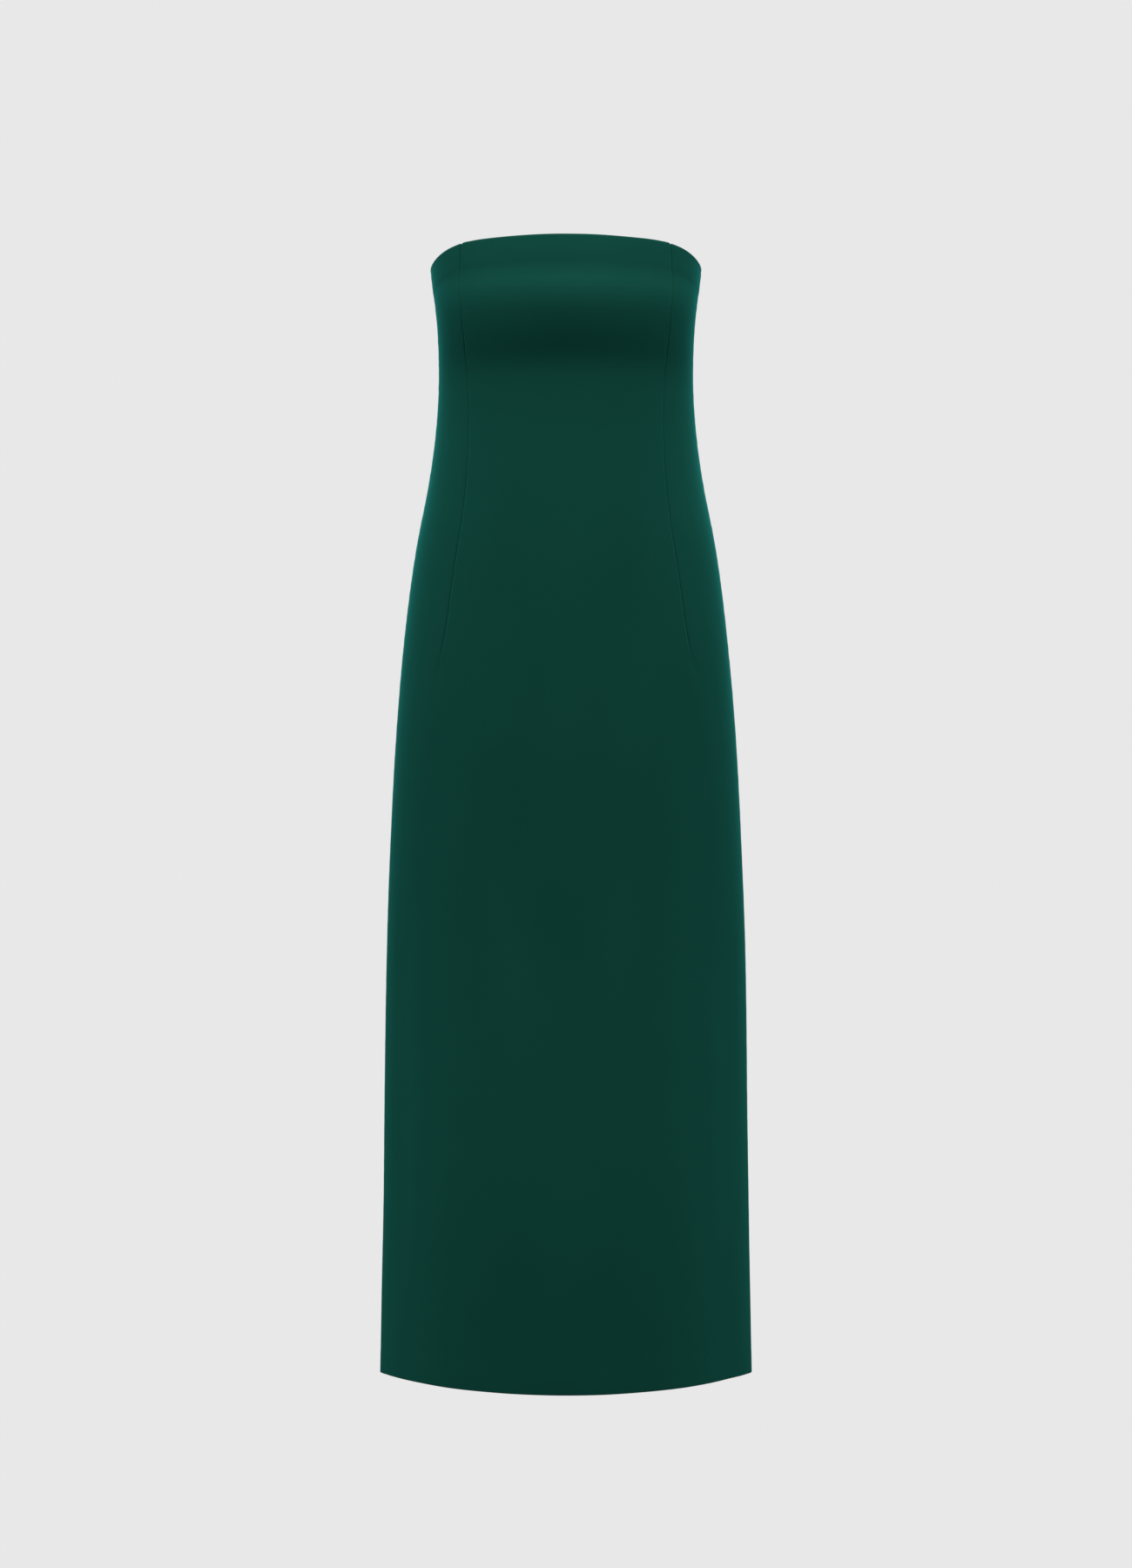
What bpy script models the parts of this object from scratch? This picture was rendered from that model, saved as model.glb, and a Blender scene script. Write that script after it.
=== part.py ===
# Strapless maxi dress, filled out as worn, with nobody in it.
# Metres, +Z up. The wearer faces -Y and their left is +X.
# The origin is on the body's axis at the bust line, where the bodice grips the wearer.

import bmesh
import bpy
import math
import numpy as np
from mathutils import Matrix, Vector

# Driving sizes
WALL = 0.0015            # cloth wall, which stands for the cloth and its turned allowances
SEAM_GAP = 0.0003        # between two pieces at a seam, and between a piece and what lies on it
TOP_CENTRE_FRONT = 0.0711
TOP_SIDE = 0.052
HEM = -1.210
NECK_FADE = -0.070       # rows follow the curve of the top edge down to here
SEAM_TURN = 0.0018       # depth of the narrow strip that turns in at each side seam

# The dress in horizontal sections, one row for each height. width is half the width across, and
# front and back are the depths from the axis. The last two columns say how round each half is:
# 0.5 is an ellipse, less is squarer, and more is a lens with corners at the side seams.
SECTION_COLUMNS = ("height", "width", "front", "back", "front_round", "back_round")
SECTIONS = (
    (0.085, 0.1570, 0.1054, 0.1035, 0.44, 0.47),
    (0.070, 0.1560, 0.1077, 0.1036, 0.44, 0.47),
    (0.060, 0.1553, 0.1093, 0.1036, 0.43, 0.47),
    (0.052, 0.1546, 0.1105, 0.1035, 0.43, 0.47),
    (0.045, 0.1540, 0.1114, 0.1034, 0.43, 0.47),
    (0.034, 0.1528, 0.1135, 0.1032, 0.42, 0.47),
    (0.026, 0.1519, 0.1155, 0.1030, 0.42, 0.47),
    (0.018, 0.1509, 0.1175, 0.1029, 0.42, 0.47),
    (0.011, 0.1500, 0.1190, 0.1027, 0.42, 0.47),
    (0.004, 0.1492, 0.1197, 0.1025, 0.42, 0.47),
    (-0.003, 0.1484, 0.1197, 0.1021, 0.42, 0.47),
    (-0.010, 0.1477, 0.1190, 0.1016, 0.42, 0.47),
    (-0.020, 0.1470, 0.1170, 0.1006, 0.42, 0.47),
    (-0.032, 0.1463, 0.1138, 0.0993, 0.43, 0.47),
    (-0.045, 0.1458, 0.1101, 0.0977, 0.44, 0.48),
    (-0.056, 0.1456, 0.1071, 0.0964, 0.45, 0.48),
    (-0.066, 0.1455, 0.1049, 0.0952, 0.46, 0.48),
    (-0.076, 0.1456, 0.1036, 0.0939, 0.47, 0.49),
    (-0.088, 0.1459, 0.1030, 0.0924, 0.48, 0.49),
    (-0.107, 0.1469, 0.1029, 0.0901, 0.49, 0.50),
    (-0.127, 0.1485, 0.1031, 0.0880, 0.50, 0.50),
    (-0.167, 0.1532, 0.1042, 0.0862, 0.50, 0.49),
    (-0.207, 0.1598, 0.1061, 0.0900, 0.50, 0.47),
    (-0.247, 0.1679, 0.1083, 0.0985, 0.50, 0.45),
    (-0.307, 0.1775, 0.1115, 0.1115, 0.51, 0.44),
    (-0.3865, 0.1867, 0.1142, 0.1200, 0.53, 0.46),
    (-0.486, 0.1950, 0.1158, 0.1195, 0.57, 0.52),
    (-0.586, 0.2004, 0.1158, 0.1165, 0.62, 0.58),
    (-0.735, 0.2060, 0.1155, 0.1145, 0.70, 0.66),
    (-0.935, 0.2087, 0.1165, 0.1140, 0.76, 0.74),
    (-1.210, 0.2133, 0.1095, 0.1130, 0.83, 0.82),
)

# Angle round from the centre front in degrees, and how far the top edge lies below its front
TOP_EDGE = (
    (0, 0.0), (10, 0.0001), (20, 0.0007), (30, 0.0013), (40, 0.0019), (48, 0.0034),
    (59, 0.0072), (66, 0.0106), (77, 0.0157), (90, 0.0191), (105, 0.0237), (125, 0.0283),
    (150, 0.0307), (180, 0.0311),
)

# Height, and the distance of each dart's sewn line from the centre line there
FRONT_DART = (
    (0.080, 0.1140), (0.046, 0.1160), (0.017, 0.1170), (-0.026, 0.1156), (-0.058, 0.1124),
    (-0.098, 0.1091), (-0.156, 0.1093), (-0.191, 0.1113), (-0.245, 0.1170), (-0.303, 0.1260),
    (-0.361, 0.1339), (-0.405, 0.1428),
)
BACK_DART = (
    (0.080, 0.0860), (0.000, 0.0850), (-0.080, 0.0815), (-0.160, 0.0800), (-0.245, 0.0850),
)
DART_GROOVE = 0.0009     # how far the cloth dips at a sewn line
DART_REACH = 0.0036      # how far to each side the dip reaches
DART_FADE = 0.035        # over how much of its end a dart's dip fades out
SEAM_DIP = 0.0004        # the same dip at the centre back seam

# The skirt's soft vertical folds. angle is degrees from the centre front, depth is positive
# inwards, spread is the half width in degrees, the fold lives from top to bottom, and it has
# turned by lean degrees when it gets there.
FOLD_COLUMNS = ("angle", "depth", "spread", "top", "bottom", "lean")
FOLDS = (
    (-17.0, 0.0022, 8.0, -0.20, -0.78, 5.0),
    (17.5, 0.0024, 8.0, -0.22, -0.74, -5.0),
    (0.0, 0.0016, 10.0, -0.62, -1.12, 0.0),
    (-40.0, -0.0013, 9.0, -0.45, -1.25, 1.5),
    (38.0, -0.0012, 9.0, -0.50, -1.25, -1.5),
    (-62.0, 0.0016, 7.0, -0.58, -1.20, 0.0),
    (60.0, 0.0015, 7.0, -0.62, -1.22, 0.0),
    (158.0, 0.0021, 8.0, -0.46, -1.05, 3.0),
    (-157.0, 0.0023, 8.0, -0.48, -1.10, -3.0),
    (138.0, -0.0014, 9.0, -0.55, -1.25, 0.0),
    (-136.0, -0.0014, 9.0, -0.55, -1.25, 0.0),
    (118.0, 0.0015, 7.0, -0.60, -1.22, 0.0),
    (-120.0, 0.0016, 7.0, -0.58, -1.22, 0.0),
    (168.0, 0.0010, 6.0, -0.08, -0.22, 0.0),
    (-168.0, 0.0010, 6.0, -0.08, -0.22, 0.0),
)
FOLD_FADE = 0.3          # the share of a fold's length over which each end fades

# Each stretch of rows down the cloth ends at a height and has so many rows
ROW_STRETCHES = ((0.034, 3), (-0.075, 9), (-0.245, 11), (-0.405, 6), (HEM, 13))
FRONT_COLUMNS = (6, 5)   # from the centre line to a dart, and from the dart to the side seam
BACK_COLUMNS = (5, 5)

# Invisible zip down the centre back
ZIP_TOP = 0.036
ZIP_BOTTOM = -0.360
TAPE_EDGES = (0.0014, 0.0120)  # its two long edges, from the centre line
TAPE_THICK = 0.0008
TAPE_ROWS = 22
TAPE_COLUMNS = 3
SLIDER_HEIGHT = 0.027    # height of the pull tab's hinge line
SLIDER_BODY = (0.0062, 0.0034, 0.0090)
SLIDER_ROUND = 0.0009
POST_HALF_WIDTH = 0.0006
POST_HALF_HEIGHT = 0.0013
PARTING = 0.0011         # how far each back edge stands from the centre line beside the post
PARTING_LOW = 0.023      # the parting starts to close at this height
PARTING_SHUT = 0.013     # and has closed to the seam's gap at this one
CROWN_OUT = 0.0019       # from the cloth to the hinge line
CROWN_EYE = 0.00085      # half the side of the crown's square eye
CROWN_BAR = 0.0009       # thickness of the crown round its eye
CROWN_CLEAR = 0.0004     # from the cloth to the crown
CROWN_ROUND = 0.0006
PULL_LENGTH = 0.0205
PULL_BAR = 0.00045       # half the thickness of the pull tab and of its hinge bar
PULL_EYE_BOTTOM = 0.00265
PULL_EYE_HALF_WIDTH = 0.0011
PULL_NECK_HALF_WIDTH = 0.0021
PULL_NECK_ROUND = 0.0008
PULL_FOOT_RADIUS = 0.0030
CORNER_STEPS = 3
FOOT_STEPS = 16

# Colours
CLOTH_GREEN = (0.006, 0.040, 0.030, 1.0)
METAL_GREEN = (0.020, 0.085, 0.066, 1.0)

# Turns that take an outline's own two axes to the two named ones
OUTLINE_TO_YZ = Matrix(((0, 0, 1, 0), (1, 0, 0, 0), (0, 1, 0, 0), (0, 0, 0, 1)))
OUTLINE_TO_XZ = Matrix(((1, 0, 0, 0), (0, 0, -1, 0), (0, 1, 0, 0), (0, 0, 0, 1)))


def clear_scene():
    for item in list(bpy.data.objects):
        bpy.data.objects.remove(item)


def collection(name):
    made = bpy.data.collections.new(name)
    bpy.context.scene.collection.children.link(made)
    return made


def material(name, colour, roughness, metallic=0.0):
    made = bpy.data.materials.new(name)
    made.use_nodes = True
    made.diffuse_color = colour
    shader = made.node_tree.nodes["Principled BSDF"]
    shader.inputs["Base Color"].default_value = colour
    shader.inputs["Roughness"].default_value = roughness
    shader.inputs["Metallic"].default_value = metallic
    return made


def spline(table, column):
    """A natural cubic spline through one column of a table, as a function of its first column."""
    rows = np.array(sorted(table), dtype=float)
    x = rows[:, 0]
    y = rows[:, column]
    step = np.diff(x)
    rise = np.diff(y) / step
    matrix = np.eye(len(x))
    right = np.zeros(len(x))
    for i in range(1, len(x) - 1):
        matrix[i, i - 1:i + 2] = step[i - 1], 2 * (step[i - 1] + step[i]), step[i]
        right[i] = 6 * (rise[i] - rise[i - 1])
    bend = np.linalg.solve(matrix, right)

    def value(at):
        at = min(max(at, x[0]), x[-1])
        i = min(max(int(np.searchsorted(x, at)) - 1, 0), len(step) - 1)
        a = (x[i + 1] - at) / step[i]
        b = 1 - a
        sag = ((a ** 3 - a) * bend[i] + (b ** 3 - b) * bend[i + 1]) * step[i] ** 2 / 6
        return float(a * y[i] + b * y[i + 1] + sag)

    return value


SECTION = {name: spline(SECTIONS, i) for i, name in enumerate(SECTION_COLUMNS) if i}
TOP_DROP = spline(TOP_EDGE, 1)
DART_LINE = {"front": spline(FRONT_DART, 1), "back": spline(BACK_DART, 1)}
DART_END = {"front": FRONT_DART[-1][0], "back": BACK_DART[-1][0]}


def ease(x):
    x = min(max(x, 0.0), 1.0)
    return x * x * (3 - 2 * x)


def fold_depth(angle, height):
    """How far the folds push the cloth in, at an angle from the centre front and a height."""
    depth = 0.0
    for row in FOLDS:
        fold = dict(zip(FOLD_COLUMNS, row))
        along = (fold["top"] - height) / (fold["top"] - fold["bottom"])
        if not 0 < along < 1:
            continue
        fade = ease(along / FOLD_FADE)
        if fold["bottom"] > HEM:
            fade *= ease((1 - along) / FOLD_FADE)
        away = math.degrees(angle) - fold["angle"] - fold["lean"] * along
        depth += fold["depth"] * fade * math.exp(-(away / fold["spread"]) ** 2)
    return depth


def ring_point(angle, height):
    """A point of the cloth's outer face. The angle runs from the centre front to the left."""
    half = "front" if math.cos(angle) >= 0 else "back"
    x = SECTION["width"](height) * math.sin(angle)
    y = SECTION[half](height) * abs(math.cos(angle)) ** (2 * SECTION[half + "_round"](height))
    if half == "front":
        y = -y
    shrink = 1 - fold_depth(angle, height) / math.hypot(x, y)
    return Vector((x * shrink, y * shrink, height))


def outward(angle, height):
    """The level direction that the outer face looks in."""
    tiny = 0.001
    along = ring_point(angle + tiny, height) - ring_point(angle - tiny, height)
    return along.cross(Vector((0, 0, 1))).normalized()


def row_heights():
    """Heights of the rows at the side seam, from the top edge to the hem."""
    heights = [TOP_SIDE]
    for end, count in ROW_STRETCHES:
        start = heights[-1]
        heights += [start + (end - start) * (k + 1) / count for k in range(count)]
    return heights


def row_height(at_side, angle):
    """The height of a row at an angle. A row near the top follows the curve of the top edge."""
    follow = ease((at_side - NECK_FADE) / (TOP_SIDE - NECK_FADE))
    top = TOP_CENTRE_FRONT - TOP_DROP(abs(math.degrees(angle)))
    return at_side + follow * (top - TOP_SIDE)


def angle_at(distance, height, half):
    """The angle at which the ring is this far from the centre line."""
    turned = math.asin(distance / SECTION["width"](height))
    return turned if half == "front" else math.pi - turned


def seam_angle(height, half):
    """The angle at which the ring is as deep as the strip that turns in at the side seam."""
    power = 2 * SECTION[half + "_round"](height)
    turned = math.acos((SEAM_TURN / SECTION[half](height)) ** (1 / power))
    return turned if half == "front" else math.pi - turned


def back_gap(height):
    """How far a back piece's edge stands from the centre line, wider beside the zip's post."""
    shut = ease((PARTING_LOW - height) / (PARTING_LOW - PARTING_SHUT))
    return PARTING + (SEAM_GAP / 2 - PARTING) * shut


def between(start, end, count):
    """Even values from start to end, without start and end."""
    return [start + (end - start) * k / count for k in range(1, count)]


def row_angles(at_side, half, columns):
    """Angles of a row's columns from the centre line to the side seam, and its dart's angle."""
    dart = angle_at(DART_LINE[half](at_side), at_side, half)
    beside = DART_REACH / SECTION["width"](at_side)
    toward_seam = beside if half == "front" else -beside
    first = 0.0 if half == "front" else angle_at(back_gap(at_side) + DART_REACH, at_side, half)
    last = seam_angle(at_side, half)
    angles = [first]
    angles += between(first, dart - toward_seam, columns[0])
    angles += [dart - toward_seam, dart, dart + toward_seam]
    angles += between(dart + toward_seam, last, columns[1])
    angles.append(last)
    return angles, dart


def half_row(at_side, half, side):
    """Points of one row from the centre line to a side seam. side is 1 left and -1 right."""
    angles, dart = row_angles(at_side, half, FRONT_COLUMNS if half == "front" else BACK_COLUMNS)
    dip = DART_GROOVE * ease((at_side - DART_END[half]) / DART_FADE)
    points = []
    for angle in angles:
        height = row_height(at_side, angle)
        point = ring_point(angle * side, height)
        if angle == dart:
            point -= outward(angle * side, height) * dip
        points.append(point)
    seam = points[-1].copy()
    seam.y = -SEAM_GAP / 2 if half == "front" else SEAM_GAP / 2
    return points + [seam]


def front_rows():
    rows = []
    for at_side in row_heights():
        left = half_row(at_side, "front", 1)
        right = half_row(at_side, "front", -1)
        rows.append(right[:0:-1] + left)
    return rows


def back_rows(side):
    rows = []
    for at_side in row_heights():
        row = half_row(at_side, "back", side)
        middle = row[0].copy()
        middle.x = side * back_gap(middle.z)
        middle.y -= SEAM_DIP
        row.insert(0, middle)
        rows.append(row[::-1] if side > 0 else row)
    return rows


def tape_rows(side):
    """A tape's points are the back's own, moved in past the wall."""
    near, far = TAPE_EDGES
    rows = []
    for k in range(TAPE_ROWS + 1):
        height = ZIP_TOP + (ZIP_BOTTOM - ZIP_TOP) * k / TAPE_ROWS
        row = []
        for c in range(TAPE_COLUMNS + 1):
            x = near + (far - near) * c / TAPE_COLUMNS
            point = ring_point(angle_at(x, height, "back") * side, height)
            point.x = side * x
            point.y -= WALL + SEAM_DIP + SEAM_GAP
            row.append(point)
        rows.append(row[::-1] if side > 0 else row)
    return rows


def cloth_sheet(name, rows, finish, group, wall):
    """A loft through unlike rows of points, given its wall inwards by Solidify."""
    wide = len(rows[0])
    faces = []
    for r in range(len(rows) - 1):
        for c in range(wide - 1):
            a = r * wide + c
            faces.append((a, a + wide, a + wide + 1, a + 1))
    mesh = bpy.data.meshes.new(name)
    mesh.from_pydata([tuple(p) for row in rows for p in row], [], faces)
    mesh.materials.append(finish)
    mesh.shade_smooth()
    made = bpy.data.objects.new(name, mesh)
    group.objects.link(made)
    solid = made.modifiers.new("wall", "SOLIDIFY")
    solid.thickness = wall
    solid.offset = -1.0
    solid.use_even_offset = True
    solid.use_quality_normals = True
    return made


def weld(mesh):
    """Joins a filled curve's caps to its sides."""
    work = bmesh.new()
    work.from_mesh(mesh)
    bmesh.ops.remove_doubles(work, verts=work.verts, dist=0.00001)
    bmesh.ops.recalc_face_normals(work, faces=work.faces)
    work.to_mesh(mesh)
    work.free()


def plate(name, outlines, half_thick, finish, group, turn, place):
    """A flat outline with its holes, as a plate turned into place."""
    curve = bpy.data.curves.new(name + "_outline", "CURVE")
    curve.dimensions = "2D"
    curve.fill_mode = "BOTH"
    curve.extrude = half_thick
    for outline in outlines:
        line = curve.splines.new("POLY")
        line.points.add(len(outline) - 1)
        for point, (u, v) in zip(line.points, outline):
            point.co = (u, v, 0, 1)
        line.use_cyclic_u = True
    source = bpy.data.objects.new(name + "_outline", curve)
    group.objects.link(source)
    bpy.context.view_layer.update()
    evaluated = source.evaluated_get(bpy.context.evaluated_depsgraph_get())
    mesh = bpy.data.meshes.new_from_object(evaluated)
    mesh.name = name
    bpy.data.objects.remove(source)
    weld(mesh)
    mesh.materials.clear()
    mesh.materials.append(finish)
    made = bpy.data.objects.new(name, mesh)
    made.matrix_world = Matrix.Translation(place) @ turn
    group.objects.link(made)
    return made


def arc(centre, radius, start, end, steps):
    """Points round an arc, with its angles in degrees."""
    points = []
    for k in range(steps + 1):
        angle = math.radians(start + (end - start) * k / steps)
        points.append((centre[0] + radius * math.cos(angle), centre[1] + radius * math.sin(angle)))
    return points


def rectangle(low, high):
    return [(low[0], low[1]), (high[0], low[1]), (high[0], high[1]), (low[0], high[1])]


def cloth_at_slider():
    """The outer face of the centre back at the slider, before the seam's dip."""
    return SECTION["back"](SLIDER_HEIGHT)


def slider_face():
    """The outer face of the slider's body, which lies behind the tapes."""
    return cloth_at_slider() - WALL - SEAM_DIP - SEAM_GAP - TAPE_THICK - SEAM_GAP


def crown_outline():
    """The crown round its eye, with the post that runs in from it to the slider's body."""
    face = cloth_at_slider()
    low = face + CROWN_CLEAR
    high = face + CROWN_OUT + CROWN_EYE + CROWN_BAR
    half = CROWN_EYE + CROWN_BAR
    corner = (high - CROWN_ROUND, half - CROWN_ROUND)
    post_end = slider_face() - SLIDER_BODY[1] / 2
    outline = [(post_end, -POST_HALF_HEIGHT), (low, -POST_HALF_HEIGHT), (low, -half)]
    outline += arc((corner[0], -corner[1]), CROWN_ROUND, -90, 0, CORNER_STEPS)
    outline += arc(corner, CROWN_ROUND, 0, 90, CORNER_STEPS)
    outline += [(low, half), (low, POST_HALF_HEIGHT), (post_end, POST_HALF_HEIGHT)]
    hinge = face + CROWN_OUT
    eye = rectangle((hinge - CROWN_EYE, -CROWN_EYE), (hinge + CROWN_EYE, CROWN_EYE))
    return [outline, eye]


def make_slider(finish, group, cutters):
    """The slider's body behind the tapes, joined to its crown outside the cloth."""
    place = Vector((0, 0, SLIDER_HEIGHT))
    crown = plate("zip_crown", crown_outline(), POST_HALF_WIDTH, finish, cutters,
                  OUTLINE_TO_YZ, place)
    crown.hide_render = True
    crown.display_type = "WIRE"
    bpy.ops.mesh.primitive_cube_add(size=1)
    body = bpy.context.object
    body.name = "zip_slider"
    body.data.name = "zip_slider"
    body.data.transform(Matrix.Diagonal((*SLIDER_BODY, 1)))
    body.location = (0, slider_face() - SLIDER_BODY[1] / 2, SLIDER_HEIGHT)
    for old in list(body.users_collection):
        old.objects.unlink(body)
    group.objects.link(body)
    body.data.materials.append(finish)
    rounded = body.modifiers.new("rounded", "BEVEL")
    rounded.width = SLIDER_ROUND
    rounded.segments = 2
    joined = body.modifiers.new("crown", "BOOLEAN")
    joined.operation = "UNION"
    joined.object = crown
    return body


def make_pull(finish, group):
    """The pull tab, a flat drop hanging from the bar that passes through the crown's eye."""
    shoulder = (PULL_NECK_HALF_WIDTH - PULL_NECK_ROUND, PULL_BAR - PULL_NECK_ROUND)
    foot = (0, PULL_FOOT_RADIUS - PULL_LENGTH)
    outline = arc(shoulder, PULL_NECK_ROUND, 0, 90, CORNER_STEPS)
    outline += arc((-shoulder[0], shoulder[1]), PULL_NECK_ROUND, 90, 180, CORNER_STEPS)
    outline += arc(foot, PULL_FOOT_RADIUS, 180, 360, FOOT_STEPS)
    eye = rectangle((-PULL_EYE_HALF_WIDTH, -PULL_EYE_BOTTOM), (PULL_EYE_HALF_WIDTH, -PULL_BAR))
    place = Vector((0, cloth_at_slider() + CROWN_OUT, SLIDER_HEIGHT))
    return plate("zip_pull", [outline, eye], PULL_BAR, finish, group, OUTLINE_TO_XZ, place)


def build_dress():
    clear_scene()
    group = collection("strapless_dress")
    cutters = collection("cutters")
    cloth = material("cloth", CLOTH_GREEN, 0.45)
    tape = material("zip_tape", CLOTH_GREEN, 0.75)
    metal = material("zip_metal", METAL_GREEN, 0.35, 0.2)
    cloth_sheet("front", front_rows(), cloth, group, WALL)
    for name, side in (("left", 1), ("right", -1)):
        cloth_sheet("back_" + name, back_rows(side), cloth, group, WALL)
        cloth_sheet("zip_tape_" + name, tape_rows(side), tape, group, TAPE_THICK)
    make_slider(metal, group, cutters)
    make_pull(metal, group)


build_dress()
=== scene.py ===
# Strapless maxi dress, filled out as worn, with nobody in it: the looks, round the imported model.
# Metres, +Z up. The wearer faces -Y and their left is +X.

import math

import bpy
import numpy as np
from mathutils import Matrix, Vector


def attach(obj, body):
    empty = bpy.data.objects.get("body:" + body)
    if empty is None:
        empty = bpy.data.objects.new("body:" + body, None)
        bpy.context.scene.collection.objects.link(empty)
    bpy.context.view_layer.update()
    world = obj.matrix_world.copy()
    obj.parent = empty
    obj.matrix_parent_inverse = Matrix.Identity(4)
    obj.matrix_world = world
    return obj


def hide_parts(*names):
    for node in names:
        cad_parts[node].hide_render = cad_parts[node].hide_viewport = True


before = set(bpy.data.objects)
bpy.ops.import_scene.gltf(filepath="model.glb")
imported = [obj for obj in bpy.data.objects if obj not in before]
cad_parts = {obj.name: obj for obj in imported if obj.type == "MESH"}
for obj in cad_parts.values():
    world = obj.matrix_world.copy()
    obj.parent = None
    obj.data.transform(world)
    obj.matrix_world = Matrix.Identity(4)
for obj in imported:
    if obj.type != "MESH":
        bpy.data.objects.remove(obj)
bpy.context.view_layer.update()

# Sizes that are the same as in the part's source
WALL = 0.0015
SEAM_GAP = 0.0003
TOP_CENTRE_FRONT = 0.0711
TOP_SIDE = 0.052
HEM = -1.210
NECK_FADE = -0.070

# Cross sections of the form. At the front they go up to 3 mm further out or in than the solids.
SECTION_COLUMNS = ("height", "width", "front", "back", "front_round", "back_round")
SECTIONS = (
    (0.085, 0.1570, 0.1054, 0.1035, 0.455, 0.47),
    (0.070, 0.1560, 0.1077, 0.1036, 0.455, 0.47),
    (0.060, 0.1553, 0.1093, 0.1036, 0.450, 0.47),
    (0.052, 0.1546, 0.1105, 0.1035, 0.446, 0.47),
    (0.045, 0.1540, 0.1114, 0.1034, 0.440, 0.47),
    (0.034, 0.1528, 0.1130, 0.1032, 0.430, 0.47),
    (0.026, 0.1519, 0.1148, 0.1030, 0.422, 0.47),
    (0.018, 0.1509, 0.1174, 0.1029, 0.414, 0.47),
    (0.011, 0.1500, 0.1193, 0.1027, 0.408, 0.47),
    (0.004, 0.1492, 0.1203, 0.1025, 0.404, 0.47),
    (-0.003, 0.1484, 0.1207, 0.1021, 0.402, 0.47),
    (-0.010, 0.1477, 0.1204, 0.1016, 0.404, 0.47),
    (-0.020, 0.1470, 0.1190, 0.1006, 0.410, 0.47),
    (-0.032, 0.1463, 0.1165, 0.0993, 0.420, 0.47),
    (-0.045, 0.1458, 0.1129, 0.0977, 0.434, 0.48),
    (-0.056, 0.1456, 0.1094, 0.0964, 0.448, 0.48),
    (-0.066, 0.1455, 0.1066, 0.0952, 0.460, 0.48),
    (-0.076, 0.1456, 0.1048, 0.0939, 0.47, 0.49),
    (-0.088, 0.1459, 0.1038, 0.0924, 0.48, 0.49),
    (-0.107, 0.1469, 0.1034, 0.0901, 0.49, 0.50),
    (-0.127, 0.1485, 0.1034, 0.0880, 0.50, 0.50),
    (-0.167, 0.1532, 0.1044, 0.0862, 0.50, 0.49),
    (-0.207, 0.1598, 0.1061, 0.0900, 0.50, 0.47),
    (-0.247, 0.1679, 0.1081, 0.0985, 0.50, 0.45),
    (-0.307, 0.1775, 0.1108, 0.1115, 0.51, 0.44),
    (-0.3865, 0.1867, 0.1128, 0.1200, 0.53, 0.46),
    (-0.486, 0.1950, 0.1139, 0.1195, 0.57, 0.52),
    (-0.586, 0.2004, 0.1138, 0.1165, 0.62, 0.58),
    (-0.735, 0.2060, 0.1137, 0.1145, 0.70, 0.66),
    (-0.835, 0.2075, 0.1155, 0.1142, 0.72, 0.70),
    (-0.935, 0.2087, 0.1178, 0.1140, 0.74, 0.74),
    (-1.025, 0.2100, 0.1180, 0.1137, 0.77, 0.77),
    (-1.115, 0.2116, 0.1148, 0.1134, 0.80, 0.79),
    (-1.210, 0.2133, 0.1100, 0.1130, 0.83, 0.82),
)

# Angle round from the centre front in degrees, and how far the top edge lies below its front
TOP_EDGE = (
    (0, 0.0), (10, 0.0001), (20, 0.0007), (30, 0.0013), (40, 0.0019), (48, 0.0034),
    (59, 0.0072), (66, 0.0106), (77, 0.0157), (90, 0.0191), (105, 0.0237), (125, 0.0283),
    (150, 0.0307), (180, 0.0311),
)

# Lines of the darts: height, and distance from the middle
FRONT_DART = (
    (0.080, 0.1140), (0.046, 0.1160), (0.017, 0.1170), (-0.026, 0.1156), (-0.058, 0.1124),
    (-0.098, 0.1091), (-0.156, 0.1093), (-0.191, 0.1113), (-0.245, 0.1170), (-0.303, 0.1260),
    (-0.361, 0.1339), (-0.405, 0.1428),
)
BACK_DART = (
    (0.080, 0.0860), (0.000, 0.0850), (-0.080, 0.0815), (-0.160, 0.0800), (-0.245, 0.0850),
)

# Soft folds. The first three are deeper than in the solids.
FOLD_COLUMNS = ("angle", "depth", "spread", "top", "bottom", "lean")
FOLDS = (
    (-25.0, 0.0042, 7.5, -0.17, -0.82, 11.0),
    (25.0, 0.0044, 7.5, -0.18, -0.80, -11.0),
    (0.0, 0.0022, 9.0, -0.62, -1.12, 0.0),
    (-40.0, -0.0013, 9.0, -0.45, -1.25, 1.5),
    (38.0, -0.0012, 9.0, -0.50, -1.25, -1.5),
    (-62.0, 0.0016, 7.0, -0.58, -1.20, 0.0),
    (60.0, 0.0015, 7.0, -0.62, -1.22, 0.0),
    (158.0, 0.0021, 8.0, -0.46, -1.05, 3.0),
    (-157.0, 0.0023, 8.0, -0.48, -1.10, -3.0),
    (138.0, -0.0014, 9.0, -0.55, -1.25, 0.0),
    (-136.0, -0.0014, 9.0, -0.55, -1.25, 0.0),
    (118.0, 0.0015, 7.0, -0.60, -1.22, 0.0),
    (-120.0, 0.0016, 7.0, -0.58, -1.22, 0.0),
    (168.0, 0.0010, 6.0, -0.08, -0.22, 0.0),
    (-168.0, 0.0010, 6.0, -0.08, -0.22, 0.0),
)
FOLD_FADE = 0.3          # share of a fold's length over which it fades at an end

# Two softer folds that only show here, with the same columns
DRAPE = (
    (-38.0, 0.0022, 8.0, -0.09, -0.50, 12.0),
    (38.0, 0.0022, 8.0, -0.09, -0.48, -12.0),
)

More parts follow.
